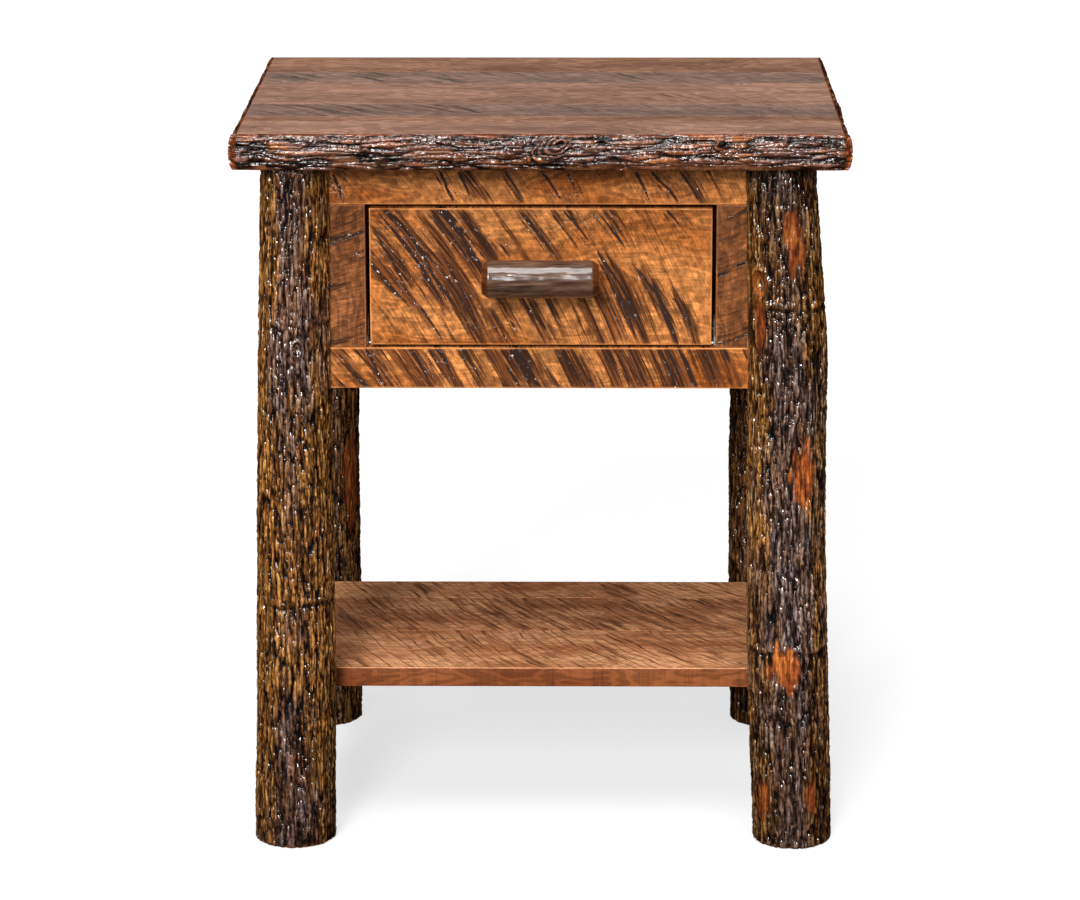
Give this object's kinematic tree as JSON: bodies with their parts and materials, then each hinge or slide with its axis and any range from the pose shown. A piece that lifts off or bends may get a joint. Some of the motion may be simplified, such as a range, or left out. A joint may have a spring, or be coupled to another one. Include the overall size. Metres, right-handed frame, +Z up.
{
  "type": "rustic log bedside table",
  "caption": "Rustic bedside table with bark-covered log legs, a thick bark-edged board top, a rough-sawn drawer with a log pull on roller slides, and an open lower shelf.",
  "frame": {"origin": "on the floor, under the middle of the whole outline seen from above", "axes": "+X to the right seen from the front, +Y to the back, so the drawer opens towards -Y, +Z up"},
  "size_m": [0.585, 0.4696, 0.711],
  "materials": {
    "log_bark": "bark left on, glossy lacquer",
    "sawn_board": "rough sawn, stained and lacquered",
    "top_wood": "sanded, satin lacquer",
    "plain_wood": "planed, clear satin",
    "slide_coating": "white epoxy coating",
    "roller_nylon": "moulded nylon",
    "screw_steel": "zinc plated"
  },
  "bodies": {
    "root": {"back_board_lower": "sawn_board", "back_board_upper": "sawn_board", "bark_edge_front": "log_bark", "bark_edge_left": "log_bark", "bark_edge_right": "log_bark", "cabinet_roller_pins": "screw_steel", "cabinet_slide_left": "slide_coating", "cabinet_slide_right": "slide_coating", "cabinet_slide_screws": "screw_steel", "drawer_stops": "plain_wood", "face_rail_bottom": "sawn_board", "face_rail_top": "sawn_board", "face_stile_left": "sawn_board", "face_stile_right": "sawn_board", "leg_front_left": "log_bark", "leg_front_right": "log_bark", "leg_rear_left": "log_bark", "leg_rear_right": "log_bark", "shelf_batten": "plain_wood", "shelf_board_front": "sawn_board", "shelf_board_middle": "sawn_board", "shelf_board_rear": "sawn_board", "shelf_screws": "screw_steel", "shelf_support_left": "plain_wood", "shelf_support_right": "plain_wood", "side_board_lower_left": "sawn_board", "side_board_lower_right": "sawn_board", "side_board_upper_left": "sawn_board", "side_board_upper_right": "sawn_board", "slide_rail_left": "plain_wood", "slide_rail_right": "plain_wood", "top_board_1": "top_wood", "top_board_2": "top_wood", "top_board_3": "top_wood", "top_board_4": "top_wood", "top_board_5": "top_wood", "top_board_6": "top_wood", "top_cleat_left": "plain_wood", "top_cleat_right": "plain_wood", "top_screws": "screw_steel"},
    "drawer": {"drawer_back": "plain_wood", "drawer_bottom": "plain_wood", "drawer_box_front": "plain_wood", "drawer_front": "sawn_board", "drawer_front_screws": "screw_steel", "drawer_roller_pins": "screw_steel", "drawer_side_left": "plain_wood", "drawer_side_right": "plain_wood", "drawer_slide_left": "slide_coating", "drawer_slide_right": "slide_coating", "drawer_slide_screws": "screw_steel", "handle": "log_bark", "handle_posts": "plain_wood", "handle_screws": "screw_steel"},
    "cabinet_roller_left": {"cabinet_roller_left": "roller_nylon"},
    "cabinet_roller_right": {"cabinet_roller_right": "roller_nylon"},
    "drawer_roller_left": {"drawer_roller_left": "roller_nylon"},
    "drawer_roller_right": {"drawer_roller_right": "roller_nylon"}
  },
  "joints": [
    {"name": "drawer_travel", "type": "slide", "parent": "root", "child": "drawer", "axis": [0, -1, 0], "range_m": [0, 0.228]},
    {"name": "cabinet_roller_left_spin", "type": "hinge", "parent": "root", "child": "cabinet_roller_left", "pos_m": [-0.16065, -0.14775, 0.5083], "axis": [1, 0, 0], "continuous": true},
    {"name": "drawer_roller_left_spin", "type": "hinge", "parent": "drawer", "child": "drawer_roller_left", "pos_m": [-0.16065, 0.12525, 0.5081], "axis": [1, 0, 0], "continuous": true},
    {"name": "cabinet_roller_right_spin", "type": "hinge", "parent": "root", "child": "cabinet_roller_right", "pos_m": [0.16065, -0.14775, 0.5083], "axis": [1, 0, 0], "continuous": true},
    {"name": "drawer_roller_right_spin", "type": "hinge", "parent": "drawer", "child": "drawer_roller_right", "pos_m": [0.16065, 0.12525, 0.5081], "axis": [1, 0, 0], "continuous": true}
  ],
  "couplings": [
    {"joint": "cabinet_roller_left_spin", "follows": "drawer_travel", "rad_per_m": 116.28},
    {"joint": "drawer_roller_left_spin", "follows": "drawer_travel", "rad_per_m": 116.28},
    {"joint": "cabinet_roller_right_spin", "follows": "drawer_travel", "rad_per_m": 116.28},
    {"joint": "drawer_roller_right_spin", "follows": "drawer_travel", "rad_per_m": 116.28}
  ]
}
